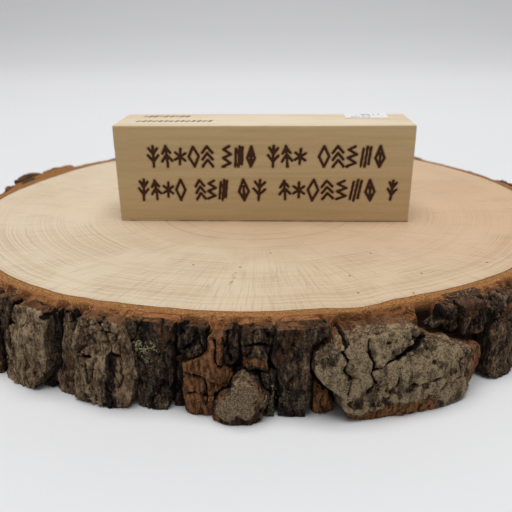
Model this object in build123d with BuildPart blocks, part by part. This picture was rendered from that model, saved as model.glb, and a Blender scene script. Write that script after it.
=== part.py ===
from build123d import *
import math
import os

# A small engraved wooden block, standing as a plaque on a live-edge slice of a log.
# Millimetres. The origin is the centre of the slice's underside, +Z up, and the engraved face looks along -Y.
# Around the slice, angles are in degrees from +X, counter-clockwise seen from above, so -90 is the front.

# --- driving dimensions ---
SLICE_THICKNESS = 22
ANGLE_STEP = 15
# Radius of the wood under the bark every ANGLE_STEP degrees from +X: a grown, slightly lopsided round.
WOOD_RADII = [92.8, 91.2, 88.6, 87.8, 88.2, 88.0, 87.0, 86.2, 85.2, 84.8, 87.2, 88.8,
              92.3, 94.0, 94.0, 93.0, 91.4, 88.6, 87.9, 87.2, 88.6, 91.2, 92.8, 93.4]
# Thickness of the fibrous inner bark at the same places.
INNER_BARK = [4.0, 3.0, 2.6, 2.6, 3.0, 3.4, 3.6, 3.4, 3.0, 3.4, 5.6, 5.0,
              3.6, 4.0, 4.4, 4.6, 4.4, 4.2, 4.0, 4.4, 4.6, 4.4, 4.2, 4.0]
# How far the corky outer bark stands proud of the inner bark at the same places.
OUTER_BARK = [5.0, 3.4, 2.6, 2.8, 3.6, 4.4, 4.8, 4.6, 4.0, 2.6, 2.2, 2.4,
              3.0, 4.8, 6.2, 6.6, 6.0, 5.6, 5.6, 6.4, 6.6, 6.4, 6.2, 5.8]

BLOCK_LENGTH = 90
BLOCK_HEIGHT = 30
BLOCK_DEPTH = 21
BLOCK_CENTRE_X = 2.1
BLOCK_FRONT_Y = -28.3
BLOCK_EDGE_RADIUS = 1.2
BLOCK_END_RADIUS = 0.7

STROKE = 0.95
ENGRAVING_DEPTH = 0.3
ORNAMENT_HEIGHT = 6.2
ORNAMENT_FILL = 0.74
ORNAMENT_TILT = 5
# Height of each engraved row above the block's foot, and its groups as (left end, right end, ornaments).
ENGRAVED_ROWS = [
    (20.6, [(-35.4, -14.8, 5), (-12.8, -1.8, 3), (1.0, 13.2, 3), (16.2, 37.0, 5)]),
    (10.2, [(-39.0, -23.6, 4), (-21.2, -10.6, 3), (-8.4, 1.2, 2), (4.4, 34.8, 7), (37.6, 41.0, 1)]),
]

MARK_STROKE = 0.5
MARK_DEPTH = 0.15
MARK_PITCH = 1.7
# Rows of small burnt ticks on the block's top: left end from the block's centre, distance behind the front,
# count.
MARK_ROWS = [(-38.6, 7.6, 14), (-38.2, 16.6, 9)]

LABEL_LENGTH = 13.4
LABEL_WIDTH = 8.0
LABEL_THICKNESS = 0.2
LABEL_CENTRE_X = 32.2
LABEL_FRONT_GAP = 11.6

# Outer bark plates along the front, from left to right. Each row: name, how far the plate stands proud of the
# inner bark, and its outline seen from outside, as (degrees round the slice, height above the underside).
FRONT_PLATES = [
    ("bark_chunk_left_edge", 4.4,
     [(-127.0, 8.6), (-125.9, 7.6), (-124.7, 15.2), (-123.4, 21.0), (-124.2, 21.8), (-127.0, 21.2)]),
    ("bark_plate_tan", 5.8,
     [(-126.7, 0.3), (-120.9, 0), (-119.6, 2.0), (-118.3, 6.2), (-117.6, 10.6), (-117.8, 13.0),
      (-117.4, 16.6), (-117.0, 19.6), (-117.9, 21.3), (-120.6, 21.8), (-122.4, 21.0), (-123.9, 15.0),
      (-125.3, 6.6)]),
    ("bark_sliver_left", 3.0,
     [(-120.0, 0), (-118.5, 0), (-117.2, 6.2), (-116.4, 10.6), (-116.2, 16.6), (-116.0, 21.4),
      (-116.7, 21.6), (-116.5, 19.6), (-116.8, 16.6), (-117.0, 10.6), (-117.7, 6.2), (-119.0, 2.0)]),
    ("bark_plate_grey_left", 2.9,
     [(-118.0, 0), (-114.9, 0), (-114.4, 2.0), (-113.8, 10.0), (-113.6, 15.0), (-113.2, 20.0),
      (-113.6, 21.8), (-115.4, 21.8), (-115.7, 16.6), (-115.9, 10.6), (-116.7, 6.2)]),
    ("bark_plate_cracked", 5.4,
     [(-113.8, 1.0), (-111.2, 0.5), (-109.8, 0), (-106.7, 0), (-105.7, 2.4), (-105.0, 8.2), (-104.7, 13.2),
      (-105.4, 14.9), (-105.8, 17.5), (-106.6, 21.3), (-108.2, 21.8), (-111.8, 21.8), (-112.7, 20.6),
      (-113.1, 15.4), (-113.3, 10.0)]),
    ("bark_plate_lichen_tuft", 3.2,
     [(-105.0, 0), (-100.9, 0), (-100.4, 2.8), (-99.9, 11.0), (-99.6, 17.0), (-99.3, 21.4), (-101.0, 21.8),
      (-105.8, 21.8), (-105.2, 17.6), (-104.8, 15.2), (-104.1, 13.2), (-104.5, 8.2)]),
    ("bark_sliver_middle", 1.6,
     [(-100.3, 0), (-98.8, 0), (-98.6, 13.0), (-99.3, 13.0), (-99.4, 8.0), (-99.9, 2.8)]),
    ("bark_chunk_upper_left", 3.6,
     [(-98.9, 16.8), (-98.1, 13.8), (-97.0, 14.6), (-95.5, 16.0), (-95.2, 19.4), (-95.0, 21.6),
      (-98.3, 21.8), (-98.7, 19.0)]),
    ("bark_plate_red_layers", 4.4,
     [(-98.3, 0), (-94.4, 0), (-94.6, 4.2), (-93.7, 7.0), (-92.4, 7.9), (-92.0, 11.0), (-92.1, 12.4),
      (-93.1, 13.2), (-93.1, 19.8), (-94.6, 19.8), (-94.9, 15.6), (-96.9, 13.9), (-97.6, 12.9),
      (-98.1, 12.6)]),
    ("bark_chunk_upper_middle", 4.0,
     [(-92.6, 14.0), (-91.6, 13.2), (-91.1, 15.2), (-90.9, 20.6), (-91.2, 21.7), (-92.7, 21.5)]),
    ("bark_chunk_small_lichen", 7.4,
     [(-93.9, 0), (-88.7, 0), (-87.9, 1.8), (-87.0, 6.4), (-87.9, 7.8), (-88.7, 10.5), (-90.5, 11.3),
      (-91.6, 10.2), (-91.8, 7.5), (-93.2, 6.5), (-94.1, 4.2)]),
    ("bark_plate_stepped", 4.4,
     [(-90.4, 12.2), (-87.3, 12.6), (-87.4, 14.7), (-86.9, 17.7), (-86.4, 21.4), (-86.8, 21.8),
      (-90.2, 21.5), (-90.4, 17.6)]),
    ("bark_chunk_low_right", 4.6,
     [(-88.1, 0), (-86.2, 0), (-86.1, 11.8), (-88.2, 11.8), (-87.4, 8.3), (-86.6, 6.6), (-87.4, 1.9)]),
    ("bark_plate_mossy", 4.8,
     [(-85.7, 0.2), (-85.0, 0), (-82.7, 0), (-82.2, 2.0), (-81.7, 5.2), (-81.7, 9.8), (-82.0, 12.6),
      (-82.0, 15.6), (-81.5, 17.0), (-79.6, 19.4), (-79.2, 20.6), (-79.6, 21.8), (-85.9, 21.8),
      (-86.4, 17.8), (-86.6, 14.6), (-85.6, 12.2)]),
    ("bark_sliver_low_red", 4.4,
     [(-81.1, 0), (-78.4, 0), (-79.3, 4.2), (-79.2, 5.6), (-80.5, 7.9), (-81.1, 9.0)]),
    ("bark_plate_big_lichen", 8.8,
     [(-81.3, 15.5), (-80.9, 12.4), (-79.1, 8.8), (-77.6, 6.4), (-77.9, 4.4), (-76.9, 0.8), (-75.0, 0),
      (-64.0, 0), (-61.6, 0.7), (-59.9, 1.7), (-58.7, 4.4), (-57.9, 9.0), (-58.2, 12.8), (-61.3, 13.2),
      (-63.2, 15.6), (-65.1, 16.1), (-67.0, 16.9), (-67.2, 18.7), (-68.3, 20.6), (-69.6, 20.3),
      (-70.7, 20.9), (-71.8, 20.7), (-74.2, 20.4), (-75.5, 20.5), (-77.4, 19.4), (-78.2, 18.4),
      (-80.4, 16.2)]),
    ("bark_chunk_upper_right", 3.6,
     [(-64.9, 17.4), (-63.0, 17.1), (-61.4, 15.5), (-60.6, 16.0), (-60.6, 21.8), (-63.0, 21.8),
      (-63.4, 19.2)]),
    ("bark_plate_shaded", 4.8,
     [(-60.0, 15.0), (-58.4, 14.2), (-56.2, 13.8), (-55.7, 16.0), (-55.5, 19.8), (-56.8, 21.9),
      (-59.8, 21.9)]),
    ("bark_plate_right", 5.8,
     [(-54.4, 1.2), (-52.2, 0), (-49.6, 0), (-48.7, 1.4), (-48.5, 20.0), (-49.4, 21.4), (-53.4, 21.6),
      (-54.5, 19.2), (-54.9, 14.0), (-54.7, 6.0)]),
]
# The outer face of every plate leans in by this share of its reach over the upper part of its height.
LEAN_SHARE = 0.34
LEAN_START = 11
# Where each plate round the sides and back begins; it ends one fissure before the next.
SIDE_PLATE_STARTS = [-47.6, -39.0, -29.5, -21.0, -11.5, -3.0, 6.5, 16.0, 29.6, 39.0, 48.5, 58.0, 67.0, 77.0,
                     86.0, 95.5, 105.0, 114.0, 124.0, 133.0, 142.5, 154.6, 163.5, 172.5, 181.0, 190.5, 199.0,
                     208.5, 217.5, 226.5, 233.7]
FISSURE = 1.0
# How far a plate's blank reaches inside the inner bark before it is cut back to sit against it.
SEAT_DEPTH = 8
# The two places where a whole piece of bark is missing: the plate before each stops this many degrees short.
BARE_GAPS = {16.0: 2.6, 142.5: 2.8}


def at_angle(table, degrees):
    """The value of a table given every ANGLE_STEP degrees, at any angle, joined by straight lines."""
    place = (degrees % 360) / ANGLE_STEP
    low = int(place)
    share = place - low
    return table[low % len(table)] * (1 - share) + table[(low + 1) % len(table)] * share


def polar(radius, degrees):
    return (radius * math.cos(math.radians(degrees)), radius * math.sin(math.radians(degrees)))


def inner_bark_radius(degrees):
    return at_angle(WOOD_RADII, degrees) + at_angle(INNER_BARK, degrees)


# --- sub-part: the wood of the slice, sawn flat above and below ---
wood_points = [polar(r, i * ANGLE_STEP) for i, r in enumerate(WOOD_RADII)]

with BuildPart() as slice_wood:
    with BuildSketch(Plane.XY):
        with BuildLine():
            Spline(*wood_points, periodic=True)
        make_face()
    extrude(amount=SLICE_THICKNESS)

# --- sub-part: the fibrous inner bark, a closed ring round the wood ---
bark_points = [polar(inner_bark_radius(i * ANGLE_STEP), i * ANGLE_STEP) for i in range(len(WOOD_RADII))]

with BuildSketch(Plane.XY) as core_outline:
    with BuildLine():
        Spline(*bark_points, periodic=True)
    make_face()

with BuildPart() as inner_bark:
    add(extrude(core_outline.sketch, amount=SLICE_THICKNESS, mode=Mode.PRIVATE))
    add(slice_wood.part, mode=Mode.SUBTRACT)


# --- sub-parts: the corky outer bark, split by fissures into plates ---
def bark_plate(reach, outline):
    """One plate: crowned across its width, leaning in at the top, cut to its outline."""
    start = min(degrees for degrees, height in outline)
    end = max(degrees for degrees, height in outline)
    middle = (start + end) / 2
    crown = [(start, 0.78), ((start + middle) / 2, 0.95), (middle, 1.0), ((middle + end) / 2, 0.96),
             (end, 0.76)]
    rim = [polar(inner_bark_radius(a) + reach * share, a) for a, share in crown]
    foot = [polar(inner_bark_radius(a) - SEAT_DEPTH, a) for a in (start, end)]
    outer = inner_bark_radius(middle) + reach
    seen = [(outer * math.sin(math.radians(degrees - middle)), height) for degrees, height in outline]
    out = (math.cos(math.radians(middle)), math.sin(math.radians(middle)), 0)
    facing = Plane(origin=(0, 0, 0), x_dir=(-out[1], out[0], 0), z_dir=out)
    sideways = Plane(origin=(0, 0, 0), x_dir=out, z_dir=(out[1], -out[0], 0))
    with BuildPart() as plate:
        with BuildSketch(Plane.XY):
            with BuildLine():
                Spline(*rim)
                Polyline(rim[-1], foot[1], foot[0], rim[0])
            make_face()
        extrude(amount=SLICE_THICKNESS)
        with BuildSketch(facing):
            with BuildLine():
                Polyline(*seen, close=True)
            make_face()
        extrude(amount=outer + reach, mode=Mode.INTERSECT)
        with BuildSketch(sideways):
            with BuildLine():
                Polyline((0, 0), (outer, 0), (outer, LEAN_START),
                         (outer - reach * LEAN_SHARE, SLICE_THICKNESS), (0, SLICE_THICKNESS), close=True)
            make_face()
        extrude(amount=outer / 2, both=True, mode=Mode.INTERSECT)
        add(slice_wood.part, mode=Mode.SUBTRACT)
        add(inner_bark.part, mode=Mode.SUBTRACT)
    return plate


def side_plates():
    """Rows like FRONT_PLATES for the plates round the sides and back, varied in height and corners."""
    rows = []
    for i, start in enumerate(SIDE_PLATE_STARTS[:-1]):
        end = SIDE_PLATE_STARTS[i + 1] - FISSURE - BARE_GAPS.get(start, 0)
        reach = at_angle(OUTER_BARK, (start + end) / 2) * (1 + 0.14 * math.sin(2.6 * i))
        high = SLICE_THICKNESS - 0.7 - 0.6 * math.sin(1.9 * i)
        across = [0.6 + 0.4 * math.sin(i + k) for k in range(4)]
        up = [1.6 + 1.2 * math.sin(1.7 * i + 2 * k) for k in range(4)]
        rows.append((f"bark_plate_side_{i + 1:02d}", reach, [
            (start + across[0], 0), (end - across[1], 0), (end, up[1]), (end, high - up[2]),
            (end - across[2], high), (start + across[3], high), (start, high - up[3]), (start, up[0])]))
    return rows


bark_plates = {}
for plate_name, *shape in FRONT_PLATES + side_plates():
    bark_plates[plate_name] = bark_plate(*shape)


# --- sub-part: the block, with its engraved ornament and burnt marks ---
# Ornaments, as strokes between points of a unit cell, (across, up).
SPRIG = [((0.5, 0), (0.5, 1)), ((0.5, 0.25), (0, 0.55)), ((0.5, 0.25), (1, 0.55)),
         ((0.5, 0.6), (0.08, 0.9)), ((0.5, 0.6), (0.92, 0.9))]
LOZENGE = [((0.5, 0), (0, 0.5)), ((0, 0.5), (0.5, 1)), ((0.5, 1), (1, 0.5)), ((1, 0.5), (0.5, 0))]
SPRING = [((0.1, 0), (0.95, 0.2)), ((0.95, 0.2), (0.1, 0.42)), ((0.1, 0.42), (0.95, 0.62)),
          ((0.95, 0.62), (0.1, 0.82)), ((0.1, 0.82), (0.7, 1))]
RAIN = [((0, 0.05), (0.28, 0.9)), ((0.36, 0), (0.68, 1)), ((0.74, 0.1), (1, 0.95))]
PEAKS = [((0, 0.04), (0.5, 0.34)), ((0.5, 0.34), (1, 0.04)), ((0, 0.36), (0.5, 0.66)),
         ((0.5, 0.66), (1, 0.36)), ((0, 0.68), (0.5, 0.98)), ((0.5, 0.98), (1, 0.68))]
STAR = [((0.5, 0.12), (0.5, 0.88)), ((0, 0.32), (1, 0.68)), ((0, 0.68), (1, 0.32))]
FIR = [((0.5, 0), (0.5, 1)), ((0.5, 0.95), (0.12, 0.66)), ((0.5, 0.95), (0.88, 0.66)),
       ((0.5, 0.6), (0, 0.28)), ((0.5, 0.6), (1, 0.28))]
LEAF = [((0.5, 0), (0.08, 0.42)), ((0.08, 0.42), (0.5, 1)), ((0.5, 1), (0.92, 0.42)),
        ((0.92, 0.42), (0.5, 0)), ((0.5, 0.2), (0.5, 0.66))]
ORNAMENTS = [SPRIG, LOZENGE, RAIN, FIR, PEAKS, LEAF, STAR, SPRING]

block_top = SLICE_THICKNESS + BLOCK_HEIGHT
front_face = Plane(origin=(BLOCK_CENTRE_X, BLOCK_FRONT_Y, SLICE_THICKNESS), x_dir=(1, 0, 0), z_dir=(0, -1, 0))
top_face = Plane(origin=(BLOCK_CENTRE_X, BLOCK_FRONT_Y, block_top), x_dir=(1, 0, 0), z_dir=(0, 0, 1))


def engraved_strokes():
    """End points of every engraved stroke on the front face, row by row and group by group."""
    strokes = []
    count = 0
    for centre_height, groups in ENGRAVED_ROWS:
        for left, right, number in groups:
            pitch = (right - left) / number
            for i in range(number):
                tilt = math.radians(ORNAMENT_TILT) * math.sin(2.3 * count)
                middle = left + pitch * (i + 0.5)
                height = ORNAMENT_HEIGHT * (1 + 0.05 * math.sin(1.7 * count))
                for stroke in ORNAMENTS[(3 * count) % len(ORNAMENTS)]:
                    ends = []
                    for across, up in stroke:
                        dx = (across - 0.5) * pitch * ORNAMENT_FILL
                        dy = (up - 0.5) * height
                        ends.append((middle + dx * math.cos(tilt) - dy * math.sin(tilt),
                                     centre_height + dx * math.sin(tilt) + dy * math.cos(tilt)))
                    strokes.append(ends)
                count += 1
    return strokes


def tick_strokes():
    """End points of the small leaning ticks burnt into the top, every third one shorter."""
    strokes = []
    for left, behind, number in MARK_ROWS:
        for i in range(number):
            half = 0.9 if i % 3 else 0.5
            x = left + i * MARK_PITCH
            strokes.append([(x - 0.3, behind - half), (x + 0.3, behind + half)])
    return strokes


with BuildPart() as plaque_block:
    with BuildSketch(Plane.XY.offset(SLICE_THICKNESS)):
        with Locations((BLOCK_CENTRE_X, BLOCK_FRONT_Y + BLOCK_DEPTH / 2)):
            Rectangle(BLOCK_LENGTH, BLOCK_DEPTH)
    extrude(amount=BLOCK_HEIGHT)
    fillet(plaque_block.edges().filter_by(Axis.X), BLOCK_EDGE_RADIUS)
    fillet(plaque_block.faces().sort_by(Axis.X)[0].edges() + plaque_block.faces().sort_by(Axis.X)[-1].edges(),
           BLOCK_END_RADIUS)
    with BuildSketch(front_face):
        for first, last in engraved_strokes():
            with Locations(((first[0] + last[0]) / 2, (first[1] + last[1]) / 2)):
                SlotCenterToCenter(math.dist(first, last), STROKE,
                                   rotation=math.degrees(math.atan2(last[1] - first[1], last[0] - first[0])))
    extrude(amount=-ENGRAVING_DEPTH, mode=Mode.SUBTRACT)
    with BuildSketch(top_face):
        for first, last in tick_strokes():
            with Locations(((first[0] + last[0]) / 2, (first[1] + last[1]) / 2)):
                SlotCenterToCenter(math.dist(first, last), MARK_STROKE,
                                   rotation=math.degrees(math.atan2(last[1] - first[1], last[0] - first[0])))
    extrude(amount=-MARK_DEPTH, mode=Mode.SUBTRACT)

# --- sub-part: a small paper price label stuck on the block's top ---
with BuildPart() as paper_label:
    with BuildSketch(top_face):
        with Locations((LABEL_CENTRE_X, LABEL_FRONT_GAP + LABEL_WIDTH / 2)):
            RectangleRounded(LABEL_LENGTH, LABEL_WIDTH, 0.8)
    extrude(amount=LABEL_THICKNESS)

# --- finished pieces ---
os.makedirs("parts", exist_ok=True)
pieces = {
    "slice_wood": slice_wood,
    "inner_bark": inner_bark,
    **bark_plates,
    "plaque_block": plaque_block,
    "paper_label": paper_label,
}
for piece_name, piece in pieces.items():
    piece.part.label = piece_name
    export_step(piece.part, f"parts/{piece_name}.step")
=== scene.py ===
"""The looks of a small engraved wooden block on a live-edge log slice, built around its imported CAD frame.

Shapes are worked out in millimetres and written to Blender in metres. Angles go round the slice from +X,
counter-clockwise seen from above, so -90 degrees is the front.
"""

import math
from collections import namedtuple

import bmesh
import bpy
import numpy as np
from mathutils import Matrix, Vector
from mathutils.bvhtree import BVHTree


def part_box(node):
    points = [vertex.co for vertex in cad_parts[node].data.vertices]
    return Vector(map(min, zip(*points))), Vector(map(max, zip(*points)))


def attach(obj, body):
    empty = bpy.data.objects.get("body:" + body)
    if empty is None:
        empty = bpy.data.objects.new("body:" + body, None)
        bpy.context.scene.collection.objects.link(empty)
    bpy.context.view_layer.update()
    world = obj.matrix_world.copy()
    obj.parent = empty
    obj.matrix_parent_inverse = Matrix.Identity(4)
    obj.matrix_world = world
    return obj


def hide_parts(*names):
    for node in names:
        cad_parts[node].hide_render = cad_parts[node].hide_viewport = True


MM = 0.001

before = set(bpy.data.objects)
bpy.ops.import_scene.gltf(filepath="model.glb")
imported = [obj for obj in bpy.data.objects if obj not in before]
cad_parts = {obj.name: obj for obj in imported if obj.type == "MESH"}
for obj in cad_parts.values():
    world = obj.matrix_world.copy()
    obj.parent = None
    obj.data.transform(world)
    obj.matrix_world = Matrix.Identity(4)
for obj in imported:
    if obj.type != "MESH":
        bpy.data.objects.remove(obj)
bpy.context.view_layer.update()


# --- the frame's measures, in millimetres ---

def box_mm(node):
    low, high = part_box(node)
    return np.array(low) / MM, np.array(high) / MM


def mesh_points(mesh):
    points = np.zeros(len(mesh.vertices) * 3)
    mesh.vertices.foreach_get("co", points)
    return points.reshape(-1, 3) / MM


def radius_by_angle(points):
    """The radius of a ring of points as a function of the angle in radians."""
    angles = np.arctan2(points[:, 1], points[:, 0])
    radii = np.hypot(points[:, 0], points[:, 1])
    order = np.argsort(angles)
    angles, radii = angles[order], radii[order]
    return lambda a: np.interp(a, angles, radii, period=2 * math.pi)


wood_radius = radius_by_angle(mesh_points(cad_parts["slice_wood"].data))
_ring = mesh_points(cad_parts["inner_bark"].data)
_outside = np.hypot(_ring[:, 0], _ring[:, 1]) > wood_radius(np.arctan2(_ring[:, 1], _ring[:, 0])) + 1.0
bark_radius = radius_by_angle(_ring[_outside])

slice_top = box_mm("slice_wood")[1][2]
block_low, block_high = box_mm("plaque_block")
block_middle = (block_low + block_high) / 2


def outward(angles):
    """Level unit vectors away from the slice's middle, one for each angle."""
    return np.column_stack([np.cos(angles), np.sin(angles), np.zeros(len(angles))])


# --- repeatable noise on arrays of points ---

def _cell_value(ix, iy, iz, seed):
    """A repeatable number from 0 to 1 for every whole-numbered cell."""
    h = (ix.astype(np.uint64) * np.uint64(374761393) + iy.astype(np.uint64) * np.uint64(668265263)
         + iz.astype(np.uint64) * np.uint64(1440662683) + np.uint64(seed * 1013904223 + 7))
    h = h & np.uint64(0xFFFFFFFF)
    h = ((h ^ (h >> np.uint64(15))) * np.uint64(2246822519)) & np.uint64(0xFFFFFFFF)
    h = ((h ^ (h >> np.uint64(13))) * np.uint64(3266489917)) & np.uint64(0xFFFFFFFF)
    return ((h ^ (h >> np.uint64(16))) & np.uint64(0xFFFFFFFF)).astype(float) / 4294967296.0


def _smooth_cells(points, seed):
    base = np.floor(points)
    share = points - base
    share = share * share * (3 - 2 * share)
    base = base.astype(np.int64)
    total = np.zeros(len(points))
    for corner in range(8):
        step = np.array([corner & 1, (corner >> 1) & 1, corner >> 2])
        weight = np.prod(np.where(step == 1, share, 1 - share), axis=1)
        ix, iy, iz = (base + step).T
        total += weight * _cell_value(ix, iy, iz, seed)
    return total * 2 - 1


def noise(points, size, seed, octaves=1):
    """Smooth noise from -1 to 1. size is the width of its bumps, one number or one for each axis."""
    scaled = points / np.asarray(size, float)
    total, weight, weights = 0.0, 1.0, 0.0
    for octave in range(octaves):
        total = total + weight * _smooth_cells(scaled * 2 ** octave + 13.7 * octave, seed + octave)
        weights += weight
        weight /= 2
    return total / weights


def noise_vectors(points, size, seed, octaves):
    """Three noises side by side, as vectors."""
    return np.stack([noise(points, size, seed + axis, octaves) for axis in range(3)], axis=1)


def cells(points, size, seed):
    """For one random point per cell: the nearest one's number, and the way from it in cells."""
    scaled = points / np.asarray(size, float)
    base = np.floor(scaled).astype(np.int64)
    nearest = np.full(len(points), 9.0)
    number = np.zeros(len(points))
    away = np.zeros((len(points), 3))
    for step in np.ndindex(3, 3, 3):
        ix, iy, iz = (base + np.array(step) - 1).T
        centre = np.stack([ix + _cell_value(ix, iy, iz, seed), iy + _cell_value(ix, iy, iz, seed + 101),
                           iz + _cell_value(ix, iy, iz, seed + 202)], axis=1)
        distance = np.linalg.norm(scaled - centre, axis=1)
        closer = distance < nearest
        number = np.where(closer, _cell_value(ix, iy, iz, seed + 303), number)
        away = np.where(closer[:, None], scaled - centre, away)
        nearest = np.where(closer, distance, nearest)
    return number, away


CHIP_TILT = 0.9


def chips(points, size, seed):
    """Broken facets: every cell has its own height, from -1 to 1, and its own slope."""
    number, away = cells(points, size, seed)
    turn = number * 40
    slope = away[:, 0] * np.cos(turn) + away[:, 1] * np.sin(turn) + away[:, 2] * np.sin(turn * 1.7)
    return number * 2 - 1 + CHIP_TILT * slope


def ease(low, high, values):
    """0 at low, 1 at high and a smooth step between. low may be the larger of the two."""
    t = np.clip((values - low) / (high - low), 0, 1)
    return t * t * (3 - 2 * t)


def terraces(values, steps, sharpness):
    """Turns smooth heights into flat flakes with short steep edges between them."""
    scaled = values * steps
    floor = np.floor(scaled)
    return (floor + ease(0.5 - sharpness / 2, 0.5 + sharpness / 2, scaled - floor)) / steps


# --- meshes ---

def placed(name, data):
    """A new object in the scene that holds the given mesh, light or camera."""
    made = bpy.data.objects.new(name, data)
    bpy.context.scene.collection.objects.link(made)
    return made


def new_piece(name, points, faces, body, replaces=(), attributes=None):
    """A smooth-shaded mesh piece from points in millimetres, riding on a CAD body."""
    mesh = bpy.data.meshes.new(name)
    mesh.from_pydata((np.asarray(points) * MM).tolist(), [], faces)
    mesh.validate()
    return finish_piece(name, mesh, body, replaces, attributes)


def finish_piece(name, mesh, body, replaces=(), attributes=None):
    for key, values in (attributes or {}).items():
        layer = mesh.attributes.new(key, "FLOAT", "POINT")
        layer.data.foreach_set("value", np.asarray(values, np.float32))
    mesh.polygons.foreach_set("use_smooth", np.ones(len(mesh.polygons), bool))
    mesh.update()
    piece = placed(name, mesh)
    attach(piece, body)
    if replaces:
        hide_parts(*replaces)
    return piece


def paint(piece, material):
    piece.data.materials.clear()
    piece.data.materials.append(material)


def mesh_normals(mesh):
    normals = np.zeros(len(mesh.vertices) * 3, np.float32)
    mesh.vertices.foreach_get("normal", normals)
    return normals.reshape(-1, 3).astype(float)


def turn_outwards(piece):
    work = bmesh.new()
    work.from_mesh(piece.data)
    bmesh.ops.recalc_face_normals(work, faces=work.faces)
    work.to_mesh(piece.data)
    work.free()


def ring_faces(rows, around):
    """Quads of a closed tube of rows x around points, stored row by row."""
    faces = []
    for row in range(rows - 1):
        for i in range(around):
            j = (i + 1) % around
            faces.append((row * around + i, row * around + j, (row + 1) * around + j, (row + 1) * around + i))
    return faces


# --- node materials ---

def srgb(red, green, blue):
    """A colour given as 0-255 values, as Blender's linear colour."""
    channels = [c / 255 for c in (red, green, blue)]
    return tuple(c / 12.92 if c <= 0.04045 else ((c + 0.055) / 1.055) ** 2.4 for c in channels) + (1.0,)


class Shader:
    """Builds one procedural material, a socket at a time. Noise sizes are in millimetres, places in metres.

    A colour is another node's socket or a tuple of 0-255 values.
    """

    def __init__(self, name):
        self.material = bpy.data.materials.new(name)
        self.material.use_nodes = True
        self.tree = self.material.node_tree
        self.tree.nodes.clear()
        self.place = self.node("TexCoord").outputs["Object"]

    def node(self, kind, inputs=None, **settings):
        made = self.tree.nodes.new("ShaderNode" + kind)
        for key, value in settings.items():
            setattr(made, key, value)
        for key, value in (inputs or {}).items():
            self.put(made.inputs[key], value)
        return made

    def put(self, socket, value):
        if isinstance(value, bpy.types.NodeSocket):
            self.tree.links.new(value, socket)
        else:
            socket.default_value = value

    def attributes(self, *names):
        return [self.node("Attribute", attribute_name=name).outputs["Fac"] for name in names]

    def math(self, operation, a, b=0.0):
        return self.node("Math", {0: a, 1: b}, operation=operation).outputs[0]

    def add(self, total, *others):
        for other in others:
            total = self.math("ADD", total, other)
        return total

    def times(self, total, *others):
        for other in others:
            total = self.math("MULTIPLY", total, other)
        return total

    def centred(self, noise, amount):
        """A noise moved to run both ways from zero, times amount."""
        return self.times(self.add(noise, -0.5), amount)

    def axes(self, vector):
        return self.node("SeparateXYZ", {0: vector}).outputs

    def joined(self, x, y=0.0, z=0.0):
        return self.node("CombineXYZ", {0: x, 1: y, 2: z}).outputs[0]

    def vector(self, operation, a, b=(0, 0, 0)):
        return self.node("VectorMath", {0: a, 1: b}, operation=operation).outputs[0]

    def spoke(self, centre=(0, 0, 0)):
        """The level direction away from centre, as its X, Y and Z."""
        away = self.vector("SUBTRACT", self.place, centre)
        return self.axes(self.vector("NORMALIZE", self.vector("MULTIPLY", away, (1, 1, 0))))

    def stretch(self, x, y, z, turn=(0, 0, 0)):
        """Places scaled along each axis, so that a pattern is drawn out where the scale is below 1."""
        return self.node("Mapping", {"Vector": self.place, "Scale": (x, y, z), "Rotation": turn}).outputs[0]

    def noise(self, size, detail=3.0, roughness=0.55, place=None, distortion=0.0):
        inputs = {"Vector": place or self.place, "Scale": 1 / (size * MM), "Detail": detail,
                  "Roughness": roughness, "Distortion": distortion}
        return self.node("TexNoise", inputs).outputs["Fac"]

    def ramp(self, factor, *stops):
        """Grey or colour by factor; stops are (place, colour) or (place, grey)."""
        made = self.node("ValToRGB", {"Fac": factor})
        points = made.color_ramp.elements
        while len(points) < len(stops):
            points.new(0.5)
        for point, (place, colour) in zip(points, stops):
            point.position = place
            point.color = srgb(*colour) if isinstance(colour, tuple) else (colour, colour, colour, 1)
        return made.outputs["Color"]

    def step(self, factor, low, high):
        """A smooth mask, 0 at low and 1 at high."""
        made = self.node("MapRange", {"Value": factor, "From Min": low, "From Max": high},
                         interpolation_type="SMOOTHSTEP")
        return made.outputs["Result"]

    def ragged(self, mask, noise, amount, low, high):
        """A mask whose edge a noise has made ragged."""
        return self.step(self.add(mask, self.centred(noise, amount)), low, high)

    def lines(self, factor, width):
        """A mask of thin lines where a noise passes its middle value."""
        return self.step(self.math("ABSOLUTE", self.add(factor, -0.5)), width, 0.0)

    def mix(self, factor, a, b, blend="MIX"):
        made = self.node("Mix", data_type="RGBA", blend_type=blend)
        self.put(made.inputs["Factor"], factor)
        for socket, colour in ((made.inputs[6], a), (made.inputs[7], b)):
            self.put(socket, srgb(*colour) if isinstance(colour, tuple) else colour)
        return made.outputs[2]

    def stained(self, colour, *stains):
        """Lays stains over a colour, one after another. Each is (mask, share, colour)."""
        for mask, share, tint in stains:
            colour = self.mix(self.times(mask, share), colour, tint)
        return colour

    def done(self, colour, roughness, height=None, bump=0.1, specular=0.3):
        """Ends the material. bump is how many millimetres one unit of height stands for."""
        inputs = {"Base Color": colour, "Roughness": roughness, "Specular IOR Level": specular}
        if height is not None:
            raised = {"Height": height, "Strength": 1.0, "Distance": bump * MM}
            inputs["Normal"] = self.node("Bump", raised).outputs[0]
        surface = self.node("BsdfPrincipled", inputs)
        self.node("OutputMaterial", {"Surface": surface.outputs[0]})
        return self.material


# --- the wood of the slice ---
RING_COUNT = 46
PITH_LEFT_OF_BLOCK_MIDDLE, PITH_BEHIND_BLOCK_FRONT = 2, 7
SLICE_AROUND = 720
SAWN_EDGE_DROP = 0.25
# Where the waves of the wood's edge are read from the noise, in millimetres from the slice's middle.
RIM_REACH = 90
# Where the wood swells outwards: degrees round the slice, half its width in degrees, and millimetres.
SWELLING = (-73.5, 4.0, 1.7)
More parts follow.
